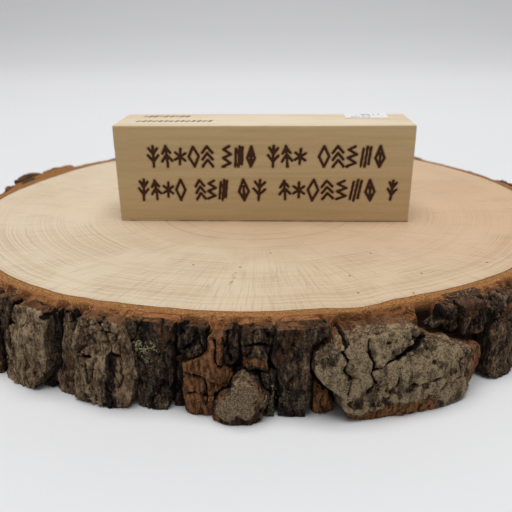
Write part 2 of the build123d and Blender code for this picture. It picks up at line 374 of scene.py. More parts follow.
# Small dark knots, and a brown streak along a ray, as (x, y) on the slice's top.
KNOTS = [(-15.3, -62.6), (-3.0, -63.9), (4.7, -54.3), (31.9, -53.8), (42.7, -66.8),
         (61.2, -59.6), (24.6, -68.8), (25.5, -78.2), (38.3, -78.0)]
STREAK_START, STREAK_END = (-3.9, -66.5), (-4.9, -75.3)

pith = np.array([block_middle[0] - PITH_LEFT_OF_BLOCK_MIDDLE, block_low[1] + PITH_BEHIND_BLOCK_FRONT])


def wood_edge(angles):
    """The radius of the wood's edge: the frame's, with small waves and one swelling."""
    place, half_width, height = SWELLING
    swelling = height * np.exp(-((np.degrees(angles) - place) / half_width) ** 2)
    return wood_radius(angles) + swelling + 0.28 * noise(outward(angles) * RIM_REACH, 3.4, 21, 3)


def make_slice_wood():
    """A disc whose circles of points are shrunken copies of its outline, for growth rings to follow."""
    angles = np.linspace(-math.pi, math.pi, SLICE_AROUND, endpoint=False)
    rim = outward(angles)[:, :2] * wood_edge(angles)[:, None]
    # how far out each circle lies, from the pith to the bark: closer near the edge, and fewer underneath
    top_shares = np.concatenate([np.linspace(0.01, 0.96, 40), np.linspace(0.97, 1.0, 5)])
    bottom_shares = top_shares[::-4]
    rows = []
    for share in top_shares:
        height = np.full(SLICE_AROUND, slice_top - SAWN_EDGE_DROP * ease(0.992, 1.0, share))
        rows.append(np.column_stack([pith + (rim - pith) * share, height]))
    for share in bottom_shares:
        rows.append(np.column_stack([pith + (rim - pith) * share, np.zeros(SLICE_AROUND)]))
    points = np.concatenate(rows)
    faces = ring_faces(len(rows), SLICE_AROUND)
    top_centre, bottom_centre = len(points), len(points) + 1
    points = np.vstack([points, [*pith, slice_top], [*pith, 0.0]])
    last = (len(rows) - 1) * SLICE_AROUND
    for i in range(SLICE_AROUND):
        j = (i + 1) % SLICE_AROUND
        faces.append((top_centre, j, i))
        faces.append((bottom_centre, last + i, last + j))
    ring = np.append(np.repeat([*top_shares, *bottom_shares], SLICE_AROUND), [0.0, 0.0])
    piece = new_piece("slice_wood_grown", points, faces, "base", ["slice_wood"],
                      {"ring": ring})
    turn_outwards(piece)
    return piece


def knots(s):
    """A mask of small dark spots at KNOTS."""
    mask = 0.0
    for x, y in KNOTS:
        centre = (x * MM, y * MM, slice_top * MM)
        distance = s.node("VectorMath", {0: s.place, 1: centre}, operation="DISTANCE").outputs["Value"]
        mask = s.math("MAXIMUM", mask, s.step(distance, 0.42 * MM, 0.16 * MM))
    return mask


def streak(s):
    """A mask along a broken brown streak."""
    (x0, y0), (x1, y1) = STREAK_START, STREAK_END
    length = math.hypot(x1 - x0, y1 - y0)
    turn = math.atan2(y1 - y0, x1 - x0)
    start = {"Vector": s.place, "Location": (x0 * MM, y0 * MM, 0), "Rotation": (0, 0, turn)}
    along, across, _ = s.axes(s.node("Mapping", start, vector_type="TEXTURE").outputs[0])
    return s.times(s.step(along, 0.0, 1.0 * MM), s.step(along, length * MM, (length - 1) * MM),
                   s.step(s.math("ABSOLUTE", across), 0.75 * MM, 0.1 * MM),
                   s.step(s.noise(1.5, 2, 0.6), 0.42, 0.60))


def rays(s, spoke, ring, spacing, run, seed):
    """A mask of thin spokes, closer together as spacing grows and shorter as run grows."""
    place = s.joined(s.add(s.times(spoke[0], spacing), seed), s.times(spoke[1], spacing), s.times(ring, run))
    return s.lines(s.noise(0.50, 1, 0.5, place=place), 0.046)


def end_grain_material():
    s = Shader("sawn_end_grain")
    ring, = s.attributes("ring")
    spoke = s.spoke((pith[0] * MM, pith[1] * MM, 0))
    across, back, _ = s.axes(s.place)
    side = s.step(across, -0.05, 0.09)
    front = s.step(back, -0.045, -0.07)
    # growth rings: thin wavy lines at uneven distances, fading in and out, each year darker towards its line
    age = s.add(ring, s.add(s.centred(s.noise(26, 3), 0.034), s.centred(s.noise(5, 2), 0.004)))
    late = s.math("POWER", s.math("FRACT", s.times(age, RING_COUNT)), 4.0)
    age_place = s.joined(s.times(age, 0.085))
    bands = s.noise(3.4, 3, 0.6, place=age_place)
    thin_rings = s.lines(s.noise(1.15, 1, 0.5, place=age_place), 0.055)
    quiet = s.add(s.times(s.step(back, -0.050, -0.015), -0.65), 1.0)
    clear = s.times(s.step(s.noise(15, 2, 0.5), 0.36, 0.60), quiet)
    # medullary rays: fine spokes, each running a short way, and fewer dark ones
    fine_rays = rays(s, spoke, ring, 0.044, 0.0015, 0.0)
    dark_rays = s.times(rays(s, spoke, ring, 0.014, 0.0012, 0.3), s.step(s.noise(9, 2, 0.5), 0.42, 0.62))
    # the saw's parallel marks, and pores too fine to see singly
    saw = s.noise(0.9, 2, 0.5, place=s.stretch(0.03, 1.0, 1.0, turn=(0, 0, 0.35)))
    pores = s.noise(0.25, 2, 0.6)
    tint = s.noise(30, 2, 0.5)
    pale = s.mix(tint, (230, 213, 187), (217, 195, 164))
    warm = s.mix(tint, (222, 192, 158), (206, 172, 138))
    heart = s.step(s.add(ring, s.times(s.noise(14, 3), 0.26)), 0.74, 0.34)
    colour = s.stained(
        s.mix(side, pale, warm),
        (front, 0.35, (224, 208, 178)),
        (heart, 0.55, (194, 164, 128)),
        (s.step(bands, 0.52, 0.70), s.times(quiet, 0.25), (182, 146, 108)),
        (s.times(late, clear), 0.22, (160, 124, 90)),
        (s.times(thin_rings, s.add(s.times(clear, 0.8), 0.1)), 0.24, (146, 112, 80)),
        (fine_rays, s.add(s.times(front, 0.11), 0.07), (130, 100, 70)),
        (dark_rays, 0.16, (134, 102, 70)),
        (s.step(saw, 0.52, 0.7), 0.08, (150, 120, 90)),
        (s.step(pores, 0.5, 0.75), 0.12, (140, 108, 78)),
        (knots(s), 0.85, (70, 46, 30)),
        (streak(s), 0.6, (150, 98, 56)))
    height = s.add(s.times(saw, 0.8), s.times(pores, 0.5), s.times(thin_rings, -0.3))
    return s.done(colour, s.ramp(tint, (0, 0.62), (1, 0.74)), height, 0.05, 0.25)


# --- the inner bark ---
BARK_AROUND = 1440
TOP_STEPS = 14
SIDE_STEPS = 30

# A stretch at the back left where the bark has dried less than the wood and stands above it, in degrees.
PROUD_BARK = (153.5, 174)
PROUD_HEIGHT = 1.3
# Notches in the bark's upper edge, their insides painted dark as shade, as (degrees, half width in degrees).
NOTCHES = [(-116.9, 0.7), (-113.4, 0.8), (-98.0, 0.9), (-91.4, 0.4), (-77.6, 0.4), (-63.9, 1.6), (-47.8, 0.7),
           (-31.0, 0.8), (14.5, 1.2), (141.0, 1.3), (199.5, 0.8), (225.6, 0.7)]
# Stretches where dark cork reaches in over the inner bark, as (from, to) in degrees.
CORK_TOPS = [(-60.6, -54.6), (-38.0, -33.5), (58.0, 63.0), (118.0, 124.0), (168.0, 172.5)]
# How many millimetres the bark's upper edge has lost, and where it lost more, as (from, to, millimetres).
LOSS_EVERYWHERE = 0.7
BROKEN_EDGE = [(-128, -119, 1.6), (-117, -107, 1.5), (-98, -92, 1.6), (-90, -84, 1.0), (-79, -66, 3.0),
               (-66, -58, 1.8), (-54, -44, 1.4), (150, 172, 0.8)]


def within(degrees, start, end, soft, soft_end=None):
    """1 from start to end and 0 elsewhere, with soft ends."""
    soft_end = soft_end or soft
    return ease(start - soft, start + soft, degrees) * (1 - ease(end - soft_end, end + soft_end, degrees))


def stands_proud(degrees):
    """1 where the bark stands above the wood, 0 elsewhere."""
    return within(degrees, *PROUD_BARK, 0.8, 3)


def notched(degrees, raggedness=0.0):
    """1 in the dark notches of the bark's upper edge, 0 elsewhere."""
    inside = np.zeros(len(degrees))
    for place, half_width in NOTCHES:
        away = np.abs((degrees - place + 180) % 360 - 180)
        inside = np.maximum(inside, 1 - ease(0.55, 1.05, away / half_width + raggedness))
    return inside


def make_inner_bark():
    """The ring of inner bark: flat next to the wood, broken down in fibrous steps towards its outer edge."""
    angles = np.linspace(-math.pi, math.pi, BARK_AROUND, endpoint=False)
    degrees = np.degrees(angles)
    out = outward(angles)
    inner, outer = wood_edge(angles), bark_radius(angles)
    width = outer - inner
    rim = out * outer[:, None]
    proud = stands_proud(degrees)
    losses = (depth * within(degrees, start, end, 1.5) for start, end, depth in BROKEN_EDGE)
    loss = sum(losses, LOSS_EVERYWHERE) * (1 + 0.5 * noise(rim, 3.0, 11, 2)) * (1 - 0.8 * proud)
    flat_share = np.clip(0.60 - 0.03 * loss + 0.12 * noise(rim, 5.0, 12, 2), 0.3, 0.9)
    notch = notched(degrees, 0.3 * noise(rim, 0.9, 17, 2))
    # circle after circle: out over the top, down the side, and back in underneath
    # the third list holds painted shade for each row: dark in the notches, darker further down the outer side
    # where it lies in the fissures between plates, and dark underneath
    rows, depths, shade_by_row = [], [], []
    for step in np.linspace(0, 1, TOP_STEPS):
        fall = ease(0, 1, (step - flat_share) / (1 - flat_share))
        fall = terraces(fall + 0.10 * noise(rim + [0, 0, step * 9], (5.0, 5.0, 1.2), 13, 2), 4, 0.45)
        cut = notch * ease(0.50, 0.72, step)
        place = out * (inner + width * step)[:, None]
        rough = 0.10 * noise(place, 0.9, 14, 2)
        drop = np.maximum(loss * fall, 0) + rough * (step > 0) + 6.0 * cut
        drop -= PROUD_HEIGHT * proud * ease(0.25, 0.60, step)
        rows.append(place + [0, 0, slice_top] - np.outer(drop, [0, 0, 1]))
        depths.append(step)
        shade_by_row.append(cut)
    edge_height = rows[-1][:, 2]
    for step in np.linspace(0, 1, SIDE_STEPS)[1:]:
        height = edge_height * (1 - step)
        place = rim + np.outer(height, [0, 0, 1])
        rough = 0.35 * noise(place, (1.6, 1.6, 5.0), 15, 3) + 0.18 * noise(place, 0.8, 16, 2)
        rows.append(place + out * (rough - 0.15)[:, None])
        depths.append(1.0)
        shade_by_row.append(ease(0.2, 5.0, edge_height - height))
    for share in (0.4, 0.0):
        rows.append(out * (inner + share * width)[:, None])
        depths.append(0.5)
        shade_by_row.append(np.ones(BARK_AROUND))
    points = np.concatenate(rows)
    faces = ring_faces(len(rows), BARK_AROUND)
    last = (len(rows) - 1) * BARK_AROUND
    faces += [(last + i, last + (i + 1) % BARK_AROUND, (i + 1) % BARK_AROUND, i) for i in range(BARK_AROUND)]
    depth = np.repeat(depths, BARK_AROUND)
    ragged = degrees + noise(rim, 1.4, 18, 3)
    cork = np.maximum.reduce([within(ragged, start, end, 0.4) for start, end in CORK_TOPS])
    cork = np.tile(cork, len(rows)) * ease(0.36, 0.46, depth)
    attributes = {"depth": depth, "side": np.concatenate(shade_by_row), "cork": cork}
    piece = new_piece("inner_bark_ring", points, faces, "base", ["inner_bark"], attributes)
    turn_outwards(piece)
    return piece


def round_the_slice(s, share, depth=0.0):
    """Places for a pattern that runs along the bark. The smaller share is, the longer it is drawn out."""
    spoke = s.spoke()
    return s.joined(s.times(spoke[0], share), s.times(spoke[1], share), s.add(s.axes(s.place)[2], depth))


def inner_bark_material():
    s = Shader("fibrous_inner_bark")
    depth, side, cork_reach = s.attributes("depth", "side", "cork")
    layers = s.noise(0.42, 4, 0.7, place=round_the_slice(s, 0.010, s.times(depth, 0.0055)))
    strands = s.noise(0.24, 3, 0.7, place=round_the_slice(s, 0.006, s.times(depth, 0.0055)))
    grain = s.noise(0.26, 3, 0.7)
    grainy = s.step(grain, 0.34, 0.66)
    level = s.stained(
        s.mix(grainy, (112, 70, 33), (194, 138, 80)),
        (s.step(layers, 0.50, 0.66), 0.45, (122, 74, 38)),
        (s.step(s.noise(0.5, 2, 0.6), 0.60, 0.68), 0.4, (96, 58, 30)))
    slope = s.stained(
        s.mix(s.step(layers, 0.38, 0.60), (90, 54, 30), (172, 113, 68)),
        (s.step(strands, 0.54, 0.66), 0.55, (196, 142, 98)),
        (s.step(grain, 0.5, 0.66), 0.45, (74, 44, 27)))
    colour = s.mix(s.ragged(depth, layers, 0.5, 0.50, 0.62), level, slope)
    cork = s.mix(grainy, (48, 34, 25), (92, 70, 52))
    colour = s.mix(s.ragged(cork_reach, grain, 0.8, 0.4, 0.6), colour, cork)
    flecks = s.step(s.noise(0.42, 1, 0.5), 0.66, 0.72)
    seam = s.ragged(depth, grain, 0.06, 0.085, 0.02)
    colour = s.stained(colour, (flecks, 0.5, (222, 174, 124)), (seam, 0.75, (100, 60, 32)))
    # painted shade: near black in the notches and down the outer side, where the inner bark lies in the
    # fissures
    fissure_shade_colour = s.mix(s.step(strands, 0.3, 0.7), (14, 10, 8), (50, 32, 22))
    colour = s.mix(s.ragged(side, layers, 0.5, 0.08, 0.55), colour, fissure_shade_colour)
    height = s.add(s.times(layers, 0.7), s.add(s.times(strands, 0.4), s.times(grain, 0.3)))
    return s.done(colour, s.ramp(grain, (0, 0.75), (1, 0.92)), height, 0.20, 0.2)


# --- the outer bark ---
# Millimetres along the bark for one degree, at about the bark's radius.
BARK_REACH = 100
ARC_PER_DEGREE = math.radians(1) * BARK_REACH
FINE_VOXEL, COARSE_VOXEL = 0.28, 0.46
BARK_LAYER = 0.9

# Cracks, as broken lines of (degrees, height).
CRACKS = {
    "bark_plate_big_lichen": [
        [(-67.2, 19.2), (-68.5, 17.2), (-70.5, 15.7), (-72.5, 14.4), (-74.6, 13.4)],
        [(-77.8, 19.4), (-78.2, 17.4), (-77.4, 15.4), (-77.8, 13.0), (-77.0, 10.6), (-77.3, 7.0)],
        [(-75.2, 19.8), (-75.0, 17.0), (-74.5, 14.6), (-74.7, 12.4), (-74.1, 9.8), (-74.9, 7.6)],
        [(-70.8, 12.4), (-71.0, 9.6), (-71.6, 8.0), (-72.3, 6.0)],
        [(-69.5, 7.5), (-67.5, 7.5), (-65.5, 8.5)],
        [(-61, 13), (-62.5, 11), (-61.5, 7), (-63, 6)]],
    "bark_plate_cracked": [
        [(-109.3, 20.5), (-107.4, 17.5), (-107.2, 15.2), (-106.2, 14.2)],
        [(-112.8, 12), (-110.6, 12.8)],
        [(-110.2, 11), (-110.4, 6), (-110.2, 0)]],
    "bark_plate_tan": [
        [(-120.6, 17), (-121, 8), (-122, 0)],
        [(-123.5, 18), (-124.0, 12), (-123.8, 6)]],
    "bark_plate_stepped": [[(-90.3, 17.2), (-88.5, 18.0), (-86.6, 17.8)]],
    "bark_chunk_upper_middle": [[(-92.3, 21), (-92.2, 16), (-91.6, 14)]],
    "bark_plate_red_layers": [
        [(-93.8, 19.5), (-94.0, 15.0), (-93.6, 13.4), (-92.5, 13.2)],
        [(-98.0, 10.6), (-96.8, 10.0), (-95.4, 10.8)],
        [(-95.3, 10.5), (-95.0, 7.0), (-95.4, 3.0)],
        [(-97.4, 5.6), (-96.2, 6.2), (-95.4, 5.4)]],
}
# How much wider the big plate's first crack gapes towards its upper end.
WIDE_CRACK = 0.45
# Bare or sooty places on the big lichened plate, as (degrees, height, radius).
BARE_PATCHES = [
    (-65.5, 12.0, 1.2), (-63.5, 9.0, 1.1), (-71.9, 7.2, 1.0), (-72.4, 5.6, 1.0), (-77.2, 11.6, 1.0),
    (-61.8, 14.2, 1.0), (-68.3, 19.2, 2.0), (-76.2, 4.4, 1.6), (-73.6, 4.2, 1.2), (-69.2, 7.4, 0.9),
    (-67.4, 7.2, 0.8), (-64.4, 6.0, 0.8), (-61.2, 16.0, 1.3), (-60.8, 11.4, 1.4), (-61.0, 7.6, 1.2),
    (-71.8, 3.2, 1.4), (-70.6, 2.4, 1.6), (-69.2, 2.2, 1.4)]
# Where the small chunk carries its lichen, as (degrees, height, radius).
LICHEN_PATCHES = [(-92.4, 3.9, 2.6), (-90.0, 8.2, 2.9), (-90.2, 4.6, 2.6), (-91.2, 6.3, 2.4)]
# A strip of bare red bark across the stepped plate, as a line of (degrees, height).
RED_STRIP = [(-91.0, 13.4), (-88.5, 14.2), (-85.5, 13.6)]
# The dark sooty band of the cracked plate, and the pale streak of the tan one, as lines of (degrees, height).
SOOT_BAND = [(-107.2, 14), (-107.9, 8), (-108.3, 0)]
PALE_STREAK = [(-121.6, 15), (-121.8, 4)]


# How one plate of bark looks: its lightness, from 0 to 1, its shares of lichen, moss and bare red bark, how
# rough it is, and how much of its top shows the brown of a fresh cut.
Look = namedtuple("Look", "tone lichen moss red rough cut", defaults=(1.0, 1.0))


LOOKS = {
    "bark_chunk_left_edge": Look(0.38, 0.05, 0.1, 0.2),
    "bark_plate_tan": Look(0.73, 0.10, 0.0, 0.05, 0.7),
    # painted shade: the left sliver's lightness is set very low, so that it stands dark like the shaded
    # fissure it lies in
    "bark_sliver_left": Look(0.12, 0.0, 0.2, 0.12),
    "bark_plate_grey_left": Look(0.50, 0.12, 0.25, 0.05),
    "bark_plate_cracked": Look(0.66, 0.16, 0.05, 0.10, 0.9),
    "bark_plate_lichen_tuft": Look(0.30, 0.06, 0.30, 0.14),
    "bark_sliver_middle": Look(0.24, 0.0, 0.2, 0.1),
    "bark_chunk_upper_left": Look(0.35, 0.04, 0.1, 0.1, 1.2),
    "bark_plate_red_layers": Look(0.40, 0.0, 0.0, 1.0, 0.6),
    "bark_chunk_upper_middle": Look(0.34, 0.0, 0.1, 0.30),
    "bark_chunk_small_lichen": Look(0.36, 0.0, 0.1, 0.40, 0.6),
    "bark_plate_stepped": Look(0.38, 0.0, 0.1, 0.25),
    "bark_chunk_low_right": Look(0.30, 0.08, 0.5, 0.1),
    "bark_plate_mossy": Look(0.29, 0.03, 0.42, 0.10, 0.7),
    "bark_sliver_low_red": Look(0.34, 0.0, 0.1, 0.8),
    "bark_plate_big_lichen": Look(0.50, 0.95, 0.1, 0.25, 0.35),
    "bark_chunk_upper_right": Look(0.26, 0.0, 0.2, 0.1, 1.0, 0.25),
    "bark_plate_shaded": Look(0.30, 0.0, 0.1, 0.25, 0.7, 0.1),
    "bark_plate_right": Look(0.45, 0.10, 0.2, 0.25, 1.0, 0.5),
}


def look_of(node):
    if node in LOOKS:
        return LOOKS[node]
    number = int(node.rsplit("_", 1)[1])
    return Look(tone=0.42 + 0.16 * math.sin(2.1 * number), lichen=0.16 + 0.16 * math.sin(1.3 * number + 1),
                moss=0.15 + 0.15 * math.sin(3.1 * number), red=0.15 + 0.12 * math.sin(1.7 * number))


def line_distance(arc, height, line):
    """Distance in millimetres from each place on the bark to a broken line of (degrees, height)."""
    best = np.full(len(arc), 1e9)
    for (a0, h0), (a1, h1) in zip(line, line[1:]):
        x0, x1 = a0 * ARC_PER_DEGREE, a1 * ARC_PER_DEGREE
        dx, dy = x1 - x0, h1 - h0
        t = np.clip(((arc - x0) * dx + (height - h0) * dy) / (dx * dx + dy * dy), 0, 1)
        best = np.minimum(best, np.hypot(arc - x0 - t * dx, height - h0 - t * dy))
    return best


def patch_cover(arc, height, patches, ragged):
    """1 inside round patches of (degrees, height, radius), 0 outside, with a ragged edge."""
    cover = np.zeros(len(arc))
    for degrees, middle, radius in patches:
        distance = np.hypot(arc - degrees * ARC_PER_DEGREE, height - middle)
        cover = np.maximum(cover, 1 - ease(-0.35, 0.35, distance + ragged - radius))
    return cover


def remeshed(node, voxel):
    """A CAD solid's mesh made again of even small quads, its sharp edges slightly rounded."""
    work = bmesh.new()
    work.from_mesh(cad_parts[node].data)
    bmesh.ops.remove_doubles(work, verts=work.verts, dist=1e-6)
    mesh = bpy.data.meshes.new(node + "_solid")
    work.to_mesh(mesh)
    work.free()
    source = placed(node + "_solid", mesh)
    grid = source.modifiers.new("grid", "REMESH")
    grid.mode = "VOXEL"
    grid.voxel_size = voxel * MM
    soft = source.modifiers.new("soft", "SMOOTH")
    soft.factor = 0.5
    soft.iterations = 3
    made = bpy.data.meshes.new_from_object(source.evaluated_get(bpy.context.evaluated_depsgraph_get()))
    bpy.data.objects.remove(source)
    bpy.data.meshes.remove(mesh)
    return made


def shape_bark(node, mesh):
    """Carves one plate: upright ridges, slabs, cracks and crust. Returns its attributes."""
    look = look_of(node)
    big, round_lichen = node == "bark_plate_big_lichen", node == "bark_chunk_small_lichen"
    points, normals = mesh_points(mesh), mesh_normals(mesh)
    height = points[:, 2]
    angles = np.arctan2(points[:, 1], points[:, 0])
    degrees = np.degrees(angles)
    arc, out = degrees * ARC_PER_DEGREE, outward(angles)
    # how far each point stands off the inner bark, and how freely it may move
    proud = np.hypot(points[:, 0], points[:, 1]) - bark_radius(angles)
    free = ease(0.2, 1.4, proud)
    facing_out = np.clip(np.einsum("ij,ij->i", normals, out), 0, 1)
    upward = np.clip(normals[:, 2], 0, 1)
    sideways = (1 - facing_out) * (1 - upward)
    # everything below is carved in a warped space, so that no cut edge stays straight
    warp = noise_vectors(points, 4.0, 31, 3) * (0.5 + 0.4 * look.rough)
    base = points + warp * free[:, None]
    ragged = base + 0.5 * noise_vectors(points, 1.1, 36, 2)
    crumbs = noise(base, (1.3, 1.3, 1.6), 46, 3)

    def scattered(share, size, seed, octaves, below=0.15, above=0.15):
        """A soft mask of patches that grow with share, from none at 0 to the whole plate at 1."""
        return ease(1 - share - below, 1 - share + above, noise(base, size, seed, octaves) * 0.6 + 0.5)

    def seams(size, seed, start):
        """Thin lines where a noise passes through zero."""
        return ease(start, 0.99, 1 - np.abs(noise(ragged, size, seed, 2)))

    def along(line, near, far, raggedness, wider=0.0):
        """1 along a broken line of (degrees, height) and 0 further off."""
        return 1 - ease(near, far, line_distance(arc, height, line) + raggedness * crumbs - wider)

    # where lichen, cracks, soot and pale wood lie
    lichen = scattered(look.lichen, 3.2, 48, 4, 0.10, 0.08)
    bare = np.zeros(len(points))
    if big:
        under = ease(3.6, 2.0, height + 1.6 * crumbs + 1.2 * noise(base, 5, 50)) * ease(-62, -66, degrees)
        mossy_end = ease(-78.3, -79.0, degrees + 0.8 * crumbs) * ease(13.8, 15.2, height + 1.5 * crumbs)
        red_end = ease(-60.6, -59.4, degrees + 1.2 * crumbs)
        patches = patch_cover(arc, height, BARE_PATCHES, crumbs * 1.6)
        bare = np.maximum.reduce([patches, under, mossy_end, red_end])
        lichen = ease(-0.48, -0.28, noise(base, 2.0, 49, 4)) * (1 - bare)
    if round_lichen:
        lichen = patch_cover(arc, height, LICHEN_PATCHES, crumbs * 0.5)
    lichen *= ease(0.25, 0.6, facing_out)
    crack = np.zeros(len(points))
    for number, line in enumerate(CRACKS.get(node, [])):
        gape = WIDE_CRACK * ease(-73.0, -69.0, degrees) if big and number == 0 else 0.0
        crack = np.maximum(crack, along(line, 0.0, 0.36, 0.28, gape))
    soot = along(SOOT_BAND, 0.9, 1.7, 0.8) if node == "bark_plate_cracked" else 0.0
    pale = ease(-77.0, -78.2, degrees + 0.5 * crumbs) if big else 0.0
    if node == "bark_plate_tan":
        pale = along(PALE_STREAK, 0.2, 1.6, 0.6)

    # the relief, in millimetres along each normal
    lumps = noise(base, (7, 7, 10), 41, 2)
    slabs = chips(ragged, (4.4, 4.4, 9.0), 42)
    ridges = noise(ragged, (0.9, 0.9, 4.6), 43, 3)
    scales = chips(ragged, (1.3, 1.3, 2.2), 44)
    grit = noise(base, 0.75, 47, 2)
    furrow = seams((2.6, 2.6, 12), 45, 0.90) * look.rough
    check = seams((6.0, 6.0, 2.6), 47, 0.93) * ease(0.0, 0.3, noise(base, 6, 40))
    covered = lichen * (1.0 if round_lichen else 0.45)
    relief = (0.50 * lumps + look.rough * (0.24 * slabs + 0.36 * ridges + 0.14 * scales) * (1 - covered)
              + 0.16 * crumbs * (1 - covered) + 0.09 * grit - 0.9 * furrow * (1 - lichen)
              - 0.5 * check * (1 - lichen) + 0.34 * lichen - 1.2 * crack - 0.25 * bare)
    relief = np.where(upward > 0.5, np.minimum(relief, 0.1), relief)
    layered = sideways * (0.22 + 0.20 * np.sin(proud * 2 * math.pi / BARK_LAYER + 2.0 * lumps))
    move = normals * (relief * (0.35 + 0.65 * np.maximum(facing_out, upward * 0.8)) + layered)[:, None]
    move = (move + warp) * free[:, None]
    move[:, 2] = np.minimum(move[:, 2], 0.3)
    made = points + move
    above = stands_proud(degrees)
    made += out * (1.6 * above * facing_out)[:, None]
    made[:, 2] = np.clip(made[:, 2], 0.0, slice_top + 0.1)
    made[:, 2] += (PROUD_HEIGHT + 0.5) * above * ease(14, 20, height)
    mesh.vertices.foreach_set("co", (made * MM).ravel())
    mesh.update()

    # on top the plates show the same layered brown as the inner bark, with the cork only at their outer edge
    broken = look.cut * ease(0.40, 0.75, upward) * (1 - 0.75 * ease(2.2, 4.2, proud + 1.4 * crumbs))
    broken *= height > 12
    red = scattered(look.red, (2.4, 2.4, 6.0), 52, 3)
    moss = scattered(look.moss, (2.0, 2.0, 2.8), 55, 3, 0.0, 0.2)
    dark_end = 0.0
    if node == "bark_plate_stepped":
        red = np.maximum(red, along(RED_STRIP, 0.5, 1.3, 0.7))
    if big:
        red = np.maximum.reduce([red * (1 - mossy_end), 0.75 * under, 0.8 * red_end])
        moss = np.maximum(moss, 0.42 * mossy_end)
        dark_end = mossy_end
    if node in ("bark_plate_mossy", "bark_chunk_low_right"):
        moss *= ease(11.0, 7.0, height)
    tone = (look.tone + 0.07 * slabs + 0.16 * ridges + 0.05 * scales
            + 0.14 * noise(base, (2.6, 2.6, 5), 54, 3) + 0.14 * pale - 0.60 * soot
            - 0.22 * dark_end + 0.12 * ease(0.5, 1.0, upward))
    # painted shade: dark inside furrows, cracks and notches, next to the inner bark, and on the faces of a
    # fissure; the sooty band adds its own real dark at half weight
    shade_and_soot = np.maximum.reduce([
        np.minimum(furrow * 0.9 + check * 0.7 + crack * 1.6 + 0.5 * soot, 1.5),
        1.15 * (1 - ease(0.3, 2.2, proud)) * (1 - upward),
        1.1 * notched(degrees, 0.5 * crumbs) * ease(18.2, 20.2, height + 1.5 * crumbs),
        0.75 * ease(0.45, 0.85, sideways) * ease(-0.5, 1.0, sideways)])
    return {"tone": tone, "lichen": lichen, "moss": moss * (1 - lichen), "red": red * (1 - lichen),
            "shade_and_soot": shade_and_soot, "broken": broken, "crust": np.full(len(points), float(round_lichen))}


def make_outer_bark():
    material = outer_bark_material()
    for node in sorted(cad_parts):
        if node.startswith("bark_"):
            mesh = remeshed(node, FINE_VOXEL if node in LOOKS else COARSE_VOXEL)
            attributes = shape_bark(node, mesh)
            paint(finish_piece("rough_" + node, mesh, "base", [node], attributes), material)


